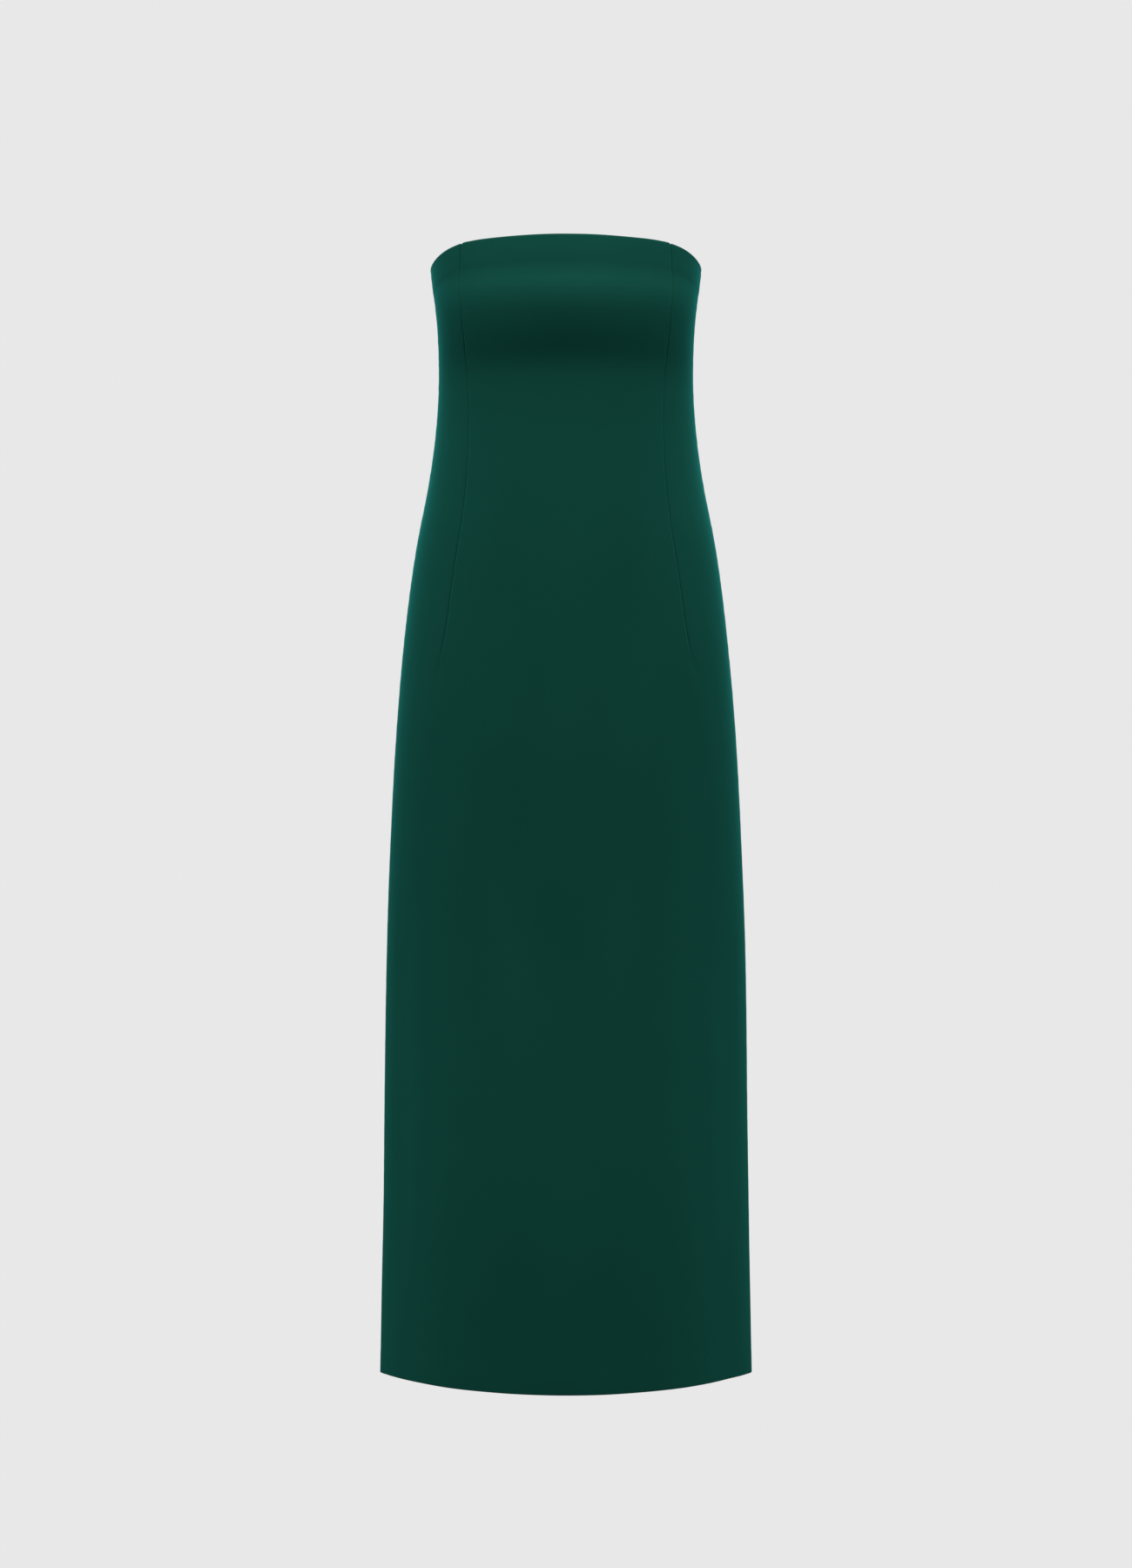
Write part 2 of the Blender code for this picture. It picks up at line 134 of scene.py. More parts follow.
# The zip, placed as in the part's source
ZIP_TOP = 0.036
ZIP_BOTTOM = -0.360
TAPE_EDGES = (0.0014, 0.0120)
TAPE_THICK = 0.0008
SEAM_DIP = 0.0004
SLIDER_HEIGHT = 0.027
PARTING = 0.0011
PARTING_LOW = 0.023
PARTING_SHUT = 0.013
CROWN_OUT = 0.0019
PULL_LENGTH = 0.0205
PULL_BAR = 0.00045
PULL_EYE_BOTTOM = 0.00265
PULL_EYE_HALF_WIDTH = 0.0011
PULL_NECK_HALF_WIDTH = 0.0021
PULL_FOOT_RADIUS = 0.0030

# The zip's finer shapes
TAPE_ROWS = 133
TAPE_COLUMNS = (0.0, 0.02, 0.06, 0.12, 0.2, 0.35, 0.5, 0.65, 0.8, 0.88, 0.94, 0.98, 1.0)
TAPE_FACE = 0.12         # how far each face is set in, as a share of the tape's thickness
SELVEDGE = 0.00012
SELVEDGE_AT = 0.03       # share of the tape's width from its edge
SELVEDGE_WIDTH = 0.05
RIB = 0.00004
RIB_COUNT = 7
TOOTH_PITCH = 0.0013
TOOTH_SIZE = (0.0014, 0.00042, 0.00055)
TOOTH_AT = 0.00085       # from the middle, sideways
TOOTH_BEHIND = 0.0006    # from the tape, inward
TOOTH_SLOPE = 0.05
TEETH_ABOVE_FOOT = 0.004
TEETH_BELOW_HEAD = 0.014
PULL_EDGE = 0.0002
PULL_EDGE_STEPS = 3
PULL_CORNER = 0.0008
PULL_CORNER_STEPS = 6
PULL_FOOT_STEPS = 40

# The cloth's own thickness, and what lies behind it inside
CLOTH = 0.0008           # the cloth as it looks at an edge
FACING = 0.0006          # the turned facing's thickness
FACING_DEPTH = 0.029     # how far the facing reaches down from the top edge
FACING_SHOWS = 0.0004    # how far the facing lifts the cloth outside
FACING_FADE = 0.008
HEM_DEPTH = 0.025
HEM_SHOWS = 0.00015
HEM_FADE = 0.006
ALLOWANCE = 0.0006       # a pressed seam allowance's thickness
ALLOWANCE_WIDTH = 0.0105
INTAKE = 0.0006          # the folded cloth behind a dart, on the side toward the middle
INTAKE_WIDTH = 0.0100
INTAKE_TAPER = 0.20      # over what height it widens from the dart's end
INTAKE_STEEP = 40.0      # how many times sooner it ends on the dart's other side
EDGE_SOFT = 0.0012       # over what width an allowance's edge rises
ROLL_STEPS = 5

# Grooves at the sewn lines
DART_GROOVE = 0.0014
DART_WIDTH = 0.0008
DART_FADE = 0.035
DART_ENDS = {
    ("front", 1): -0.4025,
    ("front", -1): -0.4105,
    ("back", 1): -0.245,
    ("back", -1): -0.245,
}
DART_DIMPLE = 0.0007
DART_DIMPLE_SIZE = (0.0050, 0.0090)
SEAM_GROOVE = 0.0008
SEAM_WIDTH = 0.0011
CENTRE_GROOVE = 0.0006
PUCKER_LENGTHS = (0.009, 0.0125, 0.017, 0.026)
PUCKER_SHARE = 0.30
PUCKER_SEEDS = {"front": 20, "back": 40, "side": 60, "centre": 80}
PILLOW = 0.00010
PILLOW_PULL = 2.0        # how much the sewing's pull changes a pillow
PILLOW_AT = 0.0042
PILLOW_WIDTH = 0.0030

# Soft unevenness of the whole cloth
UNEVEN_COUNT = 18
UNEVEN_DEPTH = 0.00016
UNEVEN_LENGTHS = (0.045, 0.120)
UNEVEN_STEEP = 0.45
UNEVEN_SEED = 11

# Stitches inside: pitch and length, and where each row runs
THREAD_RADIUS = 0.00018
THREAD_SITS = 0.00008    # how far a stitch's middle lies off the cloth
UNDERSTITCH = (0.0028, 0.0022)
UNDERSTITCH_AT = 0.0040  # below the top edge
HEM_STITCH = (0.0090, 0.0016)
HEM_STITCH_AT = 0.0220   # above the hem
ZIP_STITCH = (0.0026, 0.0020)
ZIP_STITCH_AT = 0.0052   # from the middle, sideways
ZIP_STITCH_SITS = 0.0001
ZIP_STITCH_END = 0.002   # from either end of the tape
ZIP_STITCH_POINTS = 60
BEAD_SIDES = 8
BEAD_RINGS = 6

# Rows down the cloth, and columns: at the centre back, beside a dart and beside a side seam
ROW_STRETCHES = ((0.017, 20), (-0.075, 30), (-0.425, 104), (-1.180, 100), (HEM, 12))
CENTRE_COLUMNS = (0.0, 0.0005, 0.0011, 0.0020, 0.0032, 0.0048, 0.0068, 0.0092, 0.0108, 0.0125)
DART_COLUMNS = (
    0.0, 0.0005, 0.0010, 0.0016, 0.0024, 0.0034, 0.0048, 0.0066, 0.0088, 0.0108, 0.0125,
)
SEAM_COLUMNS = (
    0.0160, 0.0125, 0.0108, 0.0090, 0.0066, 0.0046, 0.0031, 0.0020, 0.0012, 0.0006, 0.0,
)
FILL_COLUMNS = {"front": (18, 12), "back": (12, 12)}

# Colours: each finish wanders softly between two
SATIN_COLOURS = ((0.0032, 0.0350, 0.0250, 1.0), (0.0040, 0.0390, 0.0284, 1.0))
REVERSE_COLOURS = ((0.0042, 0.0380, 0.0278, 1.0), (0.0054, 0.0440, 0.0326, 1.0))
TAPE_COLOURS = ((0.0042, 0.0300, 0.0235, 1.0), (0.0056, 0.0380, 0.0300, 1.0))
THREAD_COLOURS = ((0.0050, 0.0440, 0.0340, 1.0), (0.0070, 0.0560, 0.0440, 1.0))
COIL_COLOURS = ((0.0050, 0.0340, 0.0270, 1.0), (0.0065, 0.0420, 0.0330, 1.0))
PAINT_COLOURS = ((0.0100, 0.0560, 0.0430, 1.0), (0.0140, 0.0660, 0.0510, 1.0))
SATIN_SHEEN = (0.06, 0.80, 0.72, 1.0)
DULL_SHEEN = (0.06, 0.70, 0.62, 1.0)
PAINT_GLOSS = (0.45, 1.0, 0.92, 1.0)
WHITE = (1.0, 1.0, 1.0, 1.0)

# The weave's two sets of threads: how dense each runs along its own length
WARP_FLOAT = 0.16
WEFT_FLOAT = 0.3

# Camera, at the photograph's angle
CAMERA_PLACE = (0.0, -2.80, -0.536)
CAMERA_LENS = 56.1
CAMERA_SENSOR = 36.0

# Far soft lights: name, degrees round from the front, degrees above the horizon, strength.
# One that is off the middle has a twin on the other side.
FAR_LIGHTS = (
    ("quarter", 40.0, 40.0, 0.10),
    ("quarter_high", 40.0, 65.0, 1.00),
    ("side_high", 95.0, 72.0, 0.62),
    ("behind", 168.0, 42.0, 1.15),
    ("behind_high", 150.0, 66.0, 0.70),
)
FAR_SOFTNESS = 32.0
FAR_DISTANCE = 5.0

# Soft boxes: name, place, size, power, the height on the axis that each looks at, and its
# beam in degrees. Here too one that is off the middle has a twin.
SOFT_BOXES = (
    ("over", (0.0, -1.2, 1.5), (1.4, 0.8), 49.0, -0.45, 180.0),
    ("quarter_box", (1.5, -1.2, 1.1), (0.8, 0.8), 2.4, -0.45, 180.0),
    ("side_top", (1.7, -0.4, 0.9), (0.6, 0.8), 2.7, 0.0, 80.0),
    ("side_low", (1.7, -0.7, -1.2), (0.6, 0.6), 4.0, -1.05, 95.0),
    ("front_low", (0.0, -2.0, -1.3), (1.4, 0.6), 0.55, -1.05, 60.0),
)
WORLD_STRENGTH = 0.02
STAGE_GREY = 0.807
STAGE_FLOOR = -1.50
STAGE_RADIUS = 6.5
STAGE_COVE = 2.0
STAGE_COVE_STEPS = 12
STAGE_TOP = 6.0
STAGE_SIDES = 96


def spline(table, column):
    """A natural cubic spline through one column of a table, for arrays of its first column."""
    rows = np.array(sorted(table), dtype=float)
    x = rows[:, 0]
    y = rows[:, column]
    step = np.diff(x)
    rise = np.diff(y) / step
    matrix = np.eye(len(x))
    right = np.zeros(len(x))
    for i in range(1, len(x) - 1):
        matrix[i, i - 1:i + 2] = step[i - 1], 2 * (step[i - 1] + step[i]), step[i]
        right[i] = 6 * (rise[i] - rise[i - 1])
    bend = np.linalg.solve(matrix, right)

    def value(at):
        at = np.clip(at, x[0], x[-1])
        i = np.clip(np.searchsorted(x, at) - 1, 0, len(step) - 1)
        a = (x[i + 1] - at) / step[i]
        b = 1 - a
        sag = ((a ** 3 - a) * bend[i] + (b ** 3 - b) * bend[i + 1]) * step[i] ** 2 / 6
        return a * y[i] + b * y[i + 1] + sag

    return value


SECTION = {name: spline(SECTIONS, i) for i, name in enumerate(SECTION_COLUMNS) if i}
TOP_DROP = spline(TOP_EDGE, 1)
DART_LINE = {"front": spline(FRONT_DART, 1), "back": spline(BACK_DART, 1)}


def ease(x):
    x = np.clip(x, 0.0, 1.0)
    return x * x * (3 - 2 * x)


def hump(x, width):
    return np.exp(-(x / width) ** 2)


def band(distance, width, soft=EDGE_SOFT):
    """1 within a width and 0 beyond it, with a soft edge."""
    return 1 - ease((distance - width) / soft + 0.5)


def fold_depth(degrees, height):
    """How far the folds push the cloth in. degrees run from the centre front to the left."""
    depth = np.zeros_like(height)
    for row in FOLDS + DRAPE:
        fold = dict(zip(FOLD_COLUMNS, row))
        along = (fold["top"] - height) / (fold["top"] - fold["bottom"])
        fade = ease(along / FOLD_FADE)
        if fold["bottom"] > HEM:
            fade = fade * ease((1 - along) / FOLD_FADE)
        away = degrees - fold["angle"] - fold["lean"] * along
        depth += fold["depth"] * fade * hump(away, fold["spread"])
    return depth


def ring_points(angle, height, half, side):
    """Points of the cloth's outer face. The angle runs from the centre front to a side."""
    x = side * SECTION["width"](height) * np.sin(angle)
    power = 2 * SECTION[half + "_round"](height)
    y = SECTION[half](height) * np.abs(np.cos(angle)) ** power
    if half == "front":
        y = -y
    shrink = 1 - fold_depth(np.degrees(angle) * side, height) / np.hypot(x, y)
    return np.stack([x * shrink, y * shrink, height], axis=-1)


def row_heights():
    """Heights of the rows at the side seam, from the top edge to the hem."""
    heights = [TOP_SIDE]
    for end, count in ROW_STRETCHES:
        start = heights[-1]
        heights += [start + (end - start) * (k + 1) / count for k in range(count)]
    return np.array(heights)


def top_height(angle):
    return TOP_CENTRE_FRONT - TOP_DROP(np.abs(np.degrees(angle)))


def row_height(at_side, angle):
    """Height of a row at an angle: near the top the rows follow the top edge."""
    follow = ease((at_side - NECK_FADE) / (TOP_SIDE - NECK_FADE))
    return at_side + follow * (top_height(angle) - TOP_SIDE)


def angle_at(distance, height, half):
    turned = np.arcsin(distance / SECTION["width"](height))
    return turned if half == "front" else math.pi - turned


def angle_at_depth(depth, height, half):
    power = 2 * SECTION[half + "_round"](height)
    turned = np.arccos((depth / SECTION[half](height)) ** (1 / power))
    return turned if half == "front" else math.pi - turned


def back_gap(height):
    """Half the gap at the centre back, which parts above the slider and is shut below it."""
    shut = ease((PARTING_LOW - height) / (PARTING_LOW - PARTING_SHUT))
    return PARTING - PARTING * shut


def fill(start, end, count):
    """Even columns between two columns, without them."""
    share = np.arange(1, count) / count
    return start[:, None] + (end - start)[:, None] * share[None, :]


def half_angles(at_side, half):
    """Angles of one half's columns in every row, from the centre to the side seam."""
    toward = 1 if half == "front" else -1
    width = SECTION["width"](at_side)
    dart = angle_at(DART_LINE[half](at_side), at_side, half)
    if half == "front":
        centre = np.zeros((len(at_side), 1))
    else:
        gap = back_gap(at_side)
        centre = np.stack([angle_at(gap + d, at_side, half) for d in CENTRE_COLUMNS], axis=1)
    beside = np.array([-d for d in DART_COLUMNS[:0:-1]] + list(DART_COLUMNS))
    near_dart = dart[:, None] + toward * beside[None, :] / width[:, None]
    near_seam = np.stack([angle_at_depth(d, at_side, half) for d in SEAM_COLUMNS], axis=1)
    first, second = FILL_COLUMNS[half]
    inner = fill(centre[:, -1], near_dart[:, 0], first)
    outer = fill(near_dart[:, -1], near_seam[:, 0], second)
    dart_column = centre.shape[1] + inner.shape[1] + len(DART_COLUMNS) - 1
    return np.concatenate([centre, inner, near_dart, outer, near_seam], axis=1), dart_column


def normals(points):
    """Outward directions of a grid whose rows go down and whose columns go to the left."""
    normal = np.cross(np.gradient(points, axis=0), np.gradient(points, axis=1))
    return normal / np.linalg.norm(normal, axis=-1, keepdims=True)


def unevenness(points):
    """A soft, seeded unevenness in space, so it runs on across the seams."""
    random = np.random.default_rng(UNEVEN_SEED)
    total = np.zeros(points.shape[:-1])
    for _ in range(UNEVEN_COUNT):
        length = random.uniform(*UNEVEN_LENGTHS)
        turn = random.uniform(0, 2 * math.pi)
        steep = random.uniform(-UNEVEN_STEEP, UNEVEN_STEEP)
        wave = np.array([math.cos(turn), math.sin(turn), steep]) * 2 * math.pi / length
        total += np.sin(points @ wave + random.uniform(0, 2 * math.pi)) * length
    return total * UNEVEN_DEPTH / (UNEVEN_LENGTHS[1] * math.sqrt(UNEVEN_COUNT / 2))


def pucker(along, seed):
    """The small uneven pull of the sewing along a line, about -1 to 1."""
    random = np.random.default_rng(seed)
    total = np.zeros_like(along)
    for length in PUCKER_LENGTHS:
        total += np.sin(2 * math.pi * along / length + random.uniform(0, 2 * math.pi))
    return total / len(PUCKER_LENGTHS)


def sewn_line(distance, height, depth, width, seed):
    """The dip and the soft pillows beside it that a sewn line makes in the cloth."""
    pull = pucker(height, seed)
    dip = -depth * (1 + PUCKER_SHARE * pull) * hump(distance, width)
    pillow = PILLOW * (1 + PILLOW_PULL * pull)
    return dip + pillow * hump(np.abs(distance) - PILLOW_AT, PILLOW_WIDTH)


def sewn_relief(place, half, side):
    """How far the sewing dips the cloth or lifts it outside."""
    height = place["height"]
    above_end = place["above_dart_end"]
    from_dart = place["from_dart"]
    dart_seed = PUCKER_SEEDS[half] + side
    seam_seed = PUCKER_SEEDS["side"] + side
    alive = ease(above_end / DART_FADE)
    relief = sewn_line(from_dart, height, DART_GROOVE, DART_WIDTH, dart_seed) * alive
    away = np.hypot(from_dart / DART_DIMPLE_SIZE[0], above_end / DART_DIMPLE_SIZE[1])
    relief -= DART_DIMPLE * np.exp(-away ** 2)
    relief += sewn_line(place["from_seam"], height, SEAM_GROOVE, SEAM_WIDTH, seam_seed)
    relief += FACING_SHOWS * band(place["below_top"], FACING_DEPTH, FACING_FADE)
    relief += HEM_SHOWS * band(place["above_hem"], HEM_DEPTH, HEM_FADE)
    if half == "back":
        centre_seed = PUCKER_SEEDS["centre"]
        relief += sewn_line(place["across"], height, CENTRE_GROOVE, SEAM_WIDTH, centre_seed)
    return relief


def cloth_depth(place, half):
    """The thickness of all the layers: cloth, facing, hem, allowances and the darts' intakes."""
    from_dart = place["from_dart"]
    above_end = place["above_dart_end"]
    depth = CLOTH + FACING * band(place["below_top"], FACING_DEPTH)
    depth += FACING * band(place["above_hem"], HEM_DEPTH)
    depth += ALLOWANCE * band(place["from_seam"], ALLOWANCE_WIDTH)
    intake_width = INTAKE_WIDTH * ease(above_end / INTAKE_TAPER)
    into_intake = np.where(from_dart < 0, -from_dart, INTAKE_STEEP * from_dart)
    depth += INTAKE * band(into_intake, intake_width) * ease(above_end / DART_FADE)
    if half == "back":
        depth += ALLOWANCE * band(place["across"], ALLOWANCE_WIDTH)
    return depth


def half_sheet(half, side):
    """One half of the front, or a back, as a grid with its relief. Columns start at the centre."""
    at_side = row_heights()
    angles, dart_column = half_angles(at_side, half)
    height = row_height(at_side[:, None], angles)
    points = ring_points(angles, height, half, side)
    steps = np.linalg.norm(np.diff(points, axis=1), axis=-1)
    across = np.concatenate([np.zeros((len(at_side), 1)), np.cumsum(steps, axis=1)], axis=1)
    place = {
        "height": height,
        "across": across,
        "below_top": top_height(angles) - height,
        "above_hem": height - HEM,
        "above_dart_end": height - DART_ENDS[(half, side)],
        "from_dart": across - across[:, dart_column:dart_column + 1],
        "from_seam": across[:, -1:] - across,
    }
    soft = unevenness(points)
    return {
        "points": points,
        "relief": soft + sewn_relief(place, half, side),
        "soft": soft,
        "depth": cloth_depth(place, half),
        "across": across,
        "below_top": place["below_top"],
        "above_hem": place["above_hem"],
    }


def joined(first, second):
    """Two halves as one grid: the first turned round, then the second without its centre."""
    made = {}
    for key in first:
        left = first[key][:, :0:-1]
        if key == "across":
            left = -left
        made[key] = np.concatenate([left, second[key]], axis=1)
    return made


def flipped(sheet):
    return {key: value[:, ::-1] for key, value in sheet.items()}


def roll(start, end, way):
    """Points round the fold at an edge, from one face to the other, bulging to a direction."""
    middle = (start + end) / 2
    arm = (start - end) / 2
    radius = np.linalg.norm(arm, axis=-1, keepdims=True)
    points = []
    for k in range(1, ROLL_STEPS):
        turned = math.pi * k / ROLL_STEPS
        points.append(middle + arm * math.cos(turned) + radius * way * math.sin(turned))
    return points


def shell(sheet):
    """The closed thin shell of a sheet as loops down the outside and up the inside."""
    points = sheet["points"].copy()
    normal = normals(points)
    thick = sheet["depth"] + sheet["relief"]
    top_radius = thick[0].max() / 2
    hem_radius = thick[-1].max() / 2
    highest = points[0, :, 2] - top_radius
    lowest = points[-1, :, 2] + hem_radius
    points[..., 2] = np.clip(points[..., 2], lowest[None, :], highest[None, :])
    outer = points + normal * sheet["relief"][..., None]
    inner = points + normal * (sheet["soft"] - sheet["depth"])[..., None]
    up = np.array([0.0, 0.0, 1.0])
    hem = roll(outer[-1], inner[-1], -up)
    top = roll(inner[0], outer[0], up)
    loop = [outer] + [row[None] for row in hem] + [inner[::-1]] + [row[None] for row in top]
    return np.concatenate(loop, axis=0), inner


def keep_apart(points, half, side):
    """Keeps a piece on its own side of the seams' planes, where sewn cloth touches."""
    if half == "front":
        points[..., 1] = np.minimum(points[..., 1], 0.0)
        return
    points[..., 1] = np.maximum(points[..., 1], 0.0)
    inside = np.maximum(side * points[..., 0], back_gap(points[..., 2]))
    points[..., 0] = side * inside


def mesh_piece(name, vertices, faces, materials):
    mesh = bpy.data.meshes.new(name)
    mesh.from_pydata(vertices.tolist(), [], faces)
    for finish in materials:
        mesh.materials.append(finish)
    mesh.shade_smooth()
    made = bpy.data.objects.new(name, mesh)
    bpy.context.scene.collection.objects.link(made)
    return made


def loop_faces(count, wide):
    """Faces of loops of points that stand side by side, open at the two ends."""
    first = np.arange(count)[:, None]
    second = (first + 1) % count
    column = np.arange(wide - 1)[None, :]
    corners = (first * wide + column, second * wide + column,
               second * wide + column + 1, first * wide + column + 1)
    return np.stack([c.ravel() for c in corners], axis=1)


def end_faces(rows, count, wide, column, turned):
    """Closes a shell at its first or last column."""
    top_inside = 2 * rows + ROLL_STEPS - 2
    faces = [[i, top_inside - i, top_inside - i - 1, i + 1] for i in range(rows - 1)]
    faces.append([0] + list(range(count - 1, top_inside - 1, -1)))
    faces.append(list(range(rows + ROLL_STEPS - 1, rows - 2, -1)))
    faces = [[i * wide + column for i in face] for face in faces]
    return [face[::-1] for face in faces] if turned else faces


def add_metres(piece, sheet):
    """UVs in metres: across the sheet, and height."""
    height = sheet["points"][:, :, 2]
    across = sheet["across"]
    rolled = ROLL_STEPS - 1
    down = np.concatenate([height, np.full((rolled, height.shape[1]), HEM), height[::-1],
                           np.repeat(height[:1], rolled, axis=0)])
    over = np.concatenate([across, np.repeat(across[-1:], rolled, axis=0), across[::-1],
                           np.repeat(across[:1], rolled, axis=0)])
    places = np.stack([over.ravel(), down.ravel()], axis=1)
    corner = np.zeros(len(piece.data.loops), dtype=np.int32)
    piece.data.loops.foreach_get("vertex_index", corner)
    layer = piece.data.uv_layers.new(name="metres")
    layer.data.foreach_set("uv", places[corner].astype(np.float32).ravel())


def cloth_piece(name, sheet, half, side, materials):
    """A piece of cloth. Its inside has the second material, save where the cloth is turned in."""
    points, inner = shell(sheet)
    keep_apart(points, half, side)
    count, wide = points.shape[:2]
    rows = len(inner)
    faces = loop_faces(count, wide)
    top_inside = 2 * rows + ROLL_STEPS - 2
    inside_row = np.zeros(count, dtype=bool)
    inside_row[rows + ROLL_STEPS - 1:top_inside] = True
    face_row = np.arange(count).repeat(wide - 1)
    face_column = np.tile(np.arange(wide - 1), count)
    caps = end_faces(rows, count, wide, 0, False) + end_faces(rows, count, wide, wide - 1, True)
    made = mesh_piece(name, points.reshape(-1, 3), faces.tolist() + caps, materials)
    mirror = np.clip(top_inside - face_row, 0, rows - 1)
    turned_in = sheet["below_top"][mirror, face_column] < FACING_DEPTH
    turned_in |= sheet["above_hem"][mirror, face_column] < HEM_DEPTH
    slots = np.zeros(len(faces) + len(caps), dtype=np.int32)
    slots[:len(faces)] = inside_row[face_row] & ~turned_in
    made.data.polygons.foreach_set("material_index", slots)
    add_metres(made, sheet)
    return made, inner


def bead_shape():
    """A unit ball's points and faces, coarse enough for stitches and teeth."""
    points = [(0.0, 0.0, 1.0)]
    for r in range(1, BEAD_RINGS):
        polar = math.pi * r / BEAD_RINGS
        for s in range(BEAD_SIDES):
            turned = 2 * math.pi * s / BEAD_SIDES
            points.append((math.sin(polar) * math.cos(turned), math.sin(polar) * math.sin(turned),
                           math.cos(polar)))
    points.append((0.0, 0.0, -1.0))
    faces = []
    last = len(points) - 1
    for s in range(BEAD_SIDES):
        t = (s + 1) % BEAD_SIDES
        faces.append((0, 1 + s, 1 + t))
        for r in range(BEAD_RINGS - 2):
            a = 1 + r * BEAD_SIDES
            faces.append((a + s, a + BEAD_SIDES + s, a + BEAD_SIDES + t, a + t))
        a = 1 + (BEAD_RINGS - 2) * BEAD_SIDES
        faces.append((a + s, last, a + t))
    return np.array(points), faces


def beads(name, centres, along, out, size, finish):
    """Many small rounded bodies as one piece. size is half the length, width and height."""
    shape, faces = bead_shape()
    along = along / np.linalg.norm(along, axis=1, keepdims=True)
    third = np.cross(out, along)
    third = third / np.linalg.norm(third, axis=1, keepdims=True)
    out = np.cross(along, third)
    points = (centres[:, None, :] + along[:, None, :] * shape[None, :, 2:3] * size[0]
              + third[:, None, :] * shape[None, :, 0:1] * size[1]
              + out[:, None, :] * shape[None, :, 1:2] * size[2])
    all_faces = []
    for i in range(len(centres)):
        base = i * len(shape)
        all_faces += [[base + v for v in face] for face in faces]
    return mesh_piece(name, points.reshape(-1, 3), all_faces, [finish])


def stitches(name, path, out, stitch, finish):
    """A row of stitches along a path that lies on the cloth. stitch is its pitch and length."""
    pitch, length = stitch
    steps = np.linalg.norm(np.diff(path, axis=0), axis=1)
    walked = np.concatenate([[0.0], np.cumsum(steps)])
    at = np.arange(pitch, walked[-1] - pitch, pitch)
    centres = np.stack([np.interp(at, walked, path[:, i]) for i in range(3)], axis=1)
    ahead = np.stack([np.interp(at + length / 2, walked, path[:, i]) for i in range(3)], axis=1)
    outs = np.stack([np.interp(at, walked, out[:, i]) for i in range(3)], axis=1)
    size = (length / 2, THREAD_RADIUS, THREAD_RADIUS)
    return beads(name, centres, ahead - centres, outs, size, finish)


def add(tree, kind, settings=None, inputs=None):
    node = tree.nodes.new(kind)
    for key, value in (settings or {}).items():
        setattr(node, key, value)
    for key, value in (inputs or {}).items():
        node.inputs[key].default_value = value
    return node


def principled(name, values):
    made = bpy.data.materials.new(name)
    made.use_nodes = True
    shader = made.node_tree.nodes["Principled BSDF"]
    for key, value in values.items():
        shader.inputs[key].default_value = value
    return made, made.node_tree, shader


def varied_colour(tree, shader, coordinates, colours, scale):
    """The base colour wanders softly between two colours."""
    noise = add(tree, "ShaderNodeTexNoise", None, {"Scale": scale, "Detail": 3.0})
    tree.links.new(coordinates, noise.inputs["Vector"])
    mix = add(tree, "ShaderNodeMix", {"data_type": "RGBA"})
    mix.inputs[6].default_value = colours[0]
    mix.inputs[7].default_value = colours[1]
    tree.links.new(noise.outputs["Fac"], mix.inputs[0])
    tree.links.new(mix.outputs[2], shader.inputs["Base Color"])
    return noise


def varied_roughness(tree, shader, coordinates, low, high, scale):
    noise = add(tree, "ShaderNodeTexNoise", None, {"Scale": scale, "Detail": 2.0})
    tree.links.new(coordinates, noise.inputs["Vector"])
    spread = add(tree, "ShaderNodeMapRange", None, {"To Min": low, "To Max": high})
    tree.links.new(noise.outputs["Fac"], spread.inputs["Value"])
    tree.links.new(spread.outputs["Result"], shader.inputs["Roughness"])


def weave_bump(tree, shader, coordinates, threads, strength, distance):
    """Floats of thread along the cloth and finer threads across it. threads are per metre."""
    heights = []
    for stretch in ((threads, threads * WARP_FLOAT, 1.0), (threads * WEFT_FLOAT, threads, 1.0)):
        place = add(tree, "ShaderNodeMapping", None, {"Scale": stretch})
        noise = add(tree, "ShaderNodeTexNoise", None, {"Scale": 1.0, "Detail": 1.0})
        tree.links.new(coordinates, place.inputs["Vector"])
        tree.links.new(place.outputs["Vector"], noise.inputs["Vector"])
        heights.append(noise)
    total = add(tree, "ShaderNodeMath", {"operation": "ADD"})
    tree.links.new(heights[0].outputs["Fac"], total.inputs[0])
    tree.links.new(heights[1].outputs["Fac"], total.inputs[1])
    bump = add(tree, "ShaderNodeBump", None, {"Strength": strength, "Distance": distance})
    tree.links.new(total.outputs["Value"], bump.inputs["Height"])
    tree.links.new(bump.outputs["Normal"], shader.inputs["Normal"])


def cloth_material():
    """Smooth dull satin: dark green with a teal sheen at grazing angles."""
    made, tree, shader = principled("dress_satin", {
        "Specular IOR Level": 0.0,
        "Sheen Weight": 0.21,
        "Sheen Roughness": 0.42,
        "Sheen Tint": SATIN_SHEEN,
    })
    places = add(tree, "ShaderNodeTexCoord").outputs["Object"]
    metres = add(tree, "ShaderNodeUVMap", {"uv_map": "metres"}).outputs["UV"]
    varied_colour(tree, shader, places, SATIN_COLOURS, scale=9.0)
    varied_roughness(tree, shader, places, low=0.42, high=0.52, scale=14.0)
    weave_bump(tree, shader, metres, threads=2600.0, strength=0.18, distance=0.00012)
    return made


def reverse_material():
    """The cloth's inside, duller and a little lighter."""
    made, tree, shader = principled("dress_reverse", {
        "Specular IOR Level": 0.0,
        "Sheen Weight": 0.16,
        "Sheen Roughness": 0.6,
        "Sheen Tint": DULL_SHEEN,
    })
    places = add(tree, "ShaderNodeTexCoord").outputs["Object"]
    metres = add(tree, "ShaderNodeUVMap", {"uv_map": "metres"}).outputs["UV"]
    varied_colour(tree, shader, places, REVERSE_COLOURS, scale=12.0)
    varied_roughness(tree, shader, places, low=0.62, high=0.74, scale=14.0)
    weave_bump(tree, shader, metres, threads=2200.0, strength=0.35, distance=0.00015)
    return made


